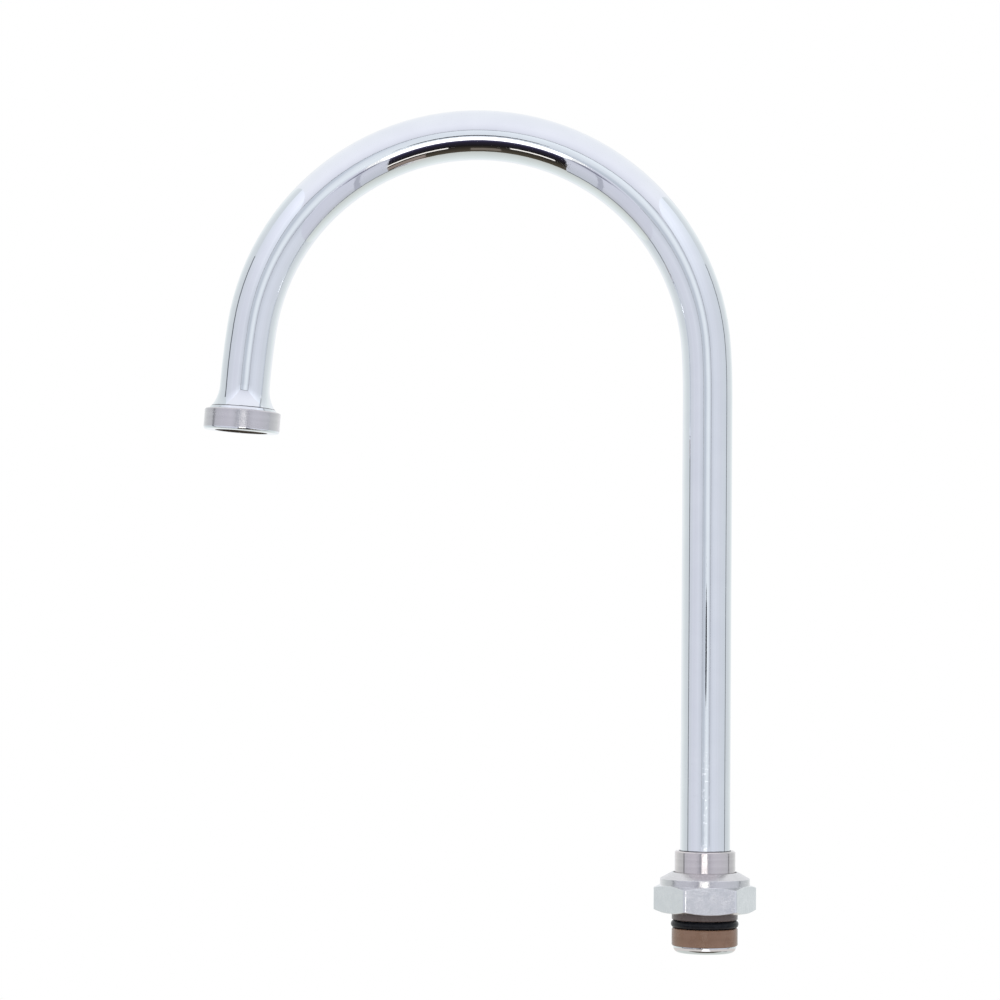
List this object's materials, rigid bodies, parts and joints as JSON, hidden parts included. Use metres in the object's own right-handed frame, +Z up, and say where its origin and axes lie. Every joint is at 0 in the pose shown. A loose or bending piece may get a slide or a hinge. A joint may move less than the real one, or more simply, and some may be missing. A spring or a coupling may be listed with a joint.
{
  "type": "gooseneck faucet spout",
  "caption": "Tall swivel gooseneck spout in polished tube, with a threaded outlet ring, a captive hex coupling nut and a sealed pilot end that turns in the faucet body",
  "frame": {"origin": "centre of the waterway's inlet, on the swivel axis at the lower end of the spud", "axes": "+Z up the riser along the swivel axis, -X towards the outlet at rest"},
  "size_m": [0.177, 0.0294, 0.2677],
  "materials": {
    "polished_tube": "mirror-polished plating",
    "turned_metal": "fine turned, satin plating",
    "satin_nut": "satin plating",
    "brown_sleeve": "satin moulded",
    "seal_rubber": "greased, smooth",
    "spring_steel": "stamped",
    "white_acetal": "smooth"
  },
  "bodies": {
    "pilot_sleeves": {"lower_bearing_sleeve": "brown_sleeve", "upper_bearing_sleeve": "brown_sleeve"},
    "spout": {"gooseneck_tube": "polished_tube", "outlet_ring": "turned_metal", "swivel_spud": "turned_metal", "o_ring": "seal_rubber", "keeper_ring": "spring_steel"},
    "nut_washer": {"friction_washer": "white_acetal"},
    "nut": {"coupling_nut": "satin_nut"}
  },
  "joints": [
    {"name": "spout_swivel", "type": "hinge", "parent": "pilot_sleeves", "child": "spout", "pos_m": [0, 0, 0], "axis": [0, 0, 1], "continuous": true},
    {"name": "nut_lift", "type": "slide", "parent": "pilot_sleeves", "child": "nut_washer", "axis": [0, 0, 1], "range_m": [0, 0.16]},
    {"name": "nut_spin", "type": "hinge", "parent": "nut_washer", "child": "nut", "pos_m": [0, 0, 0], "axis": [0, 0, 1], "continuous": true}
  ]
}
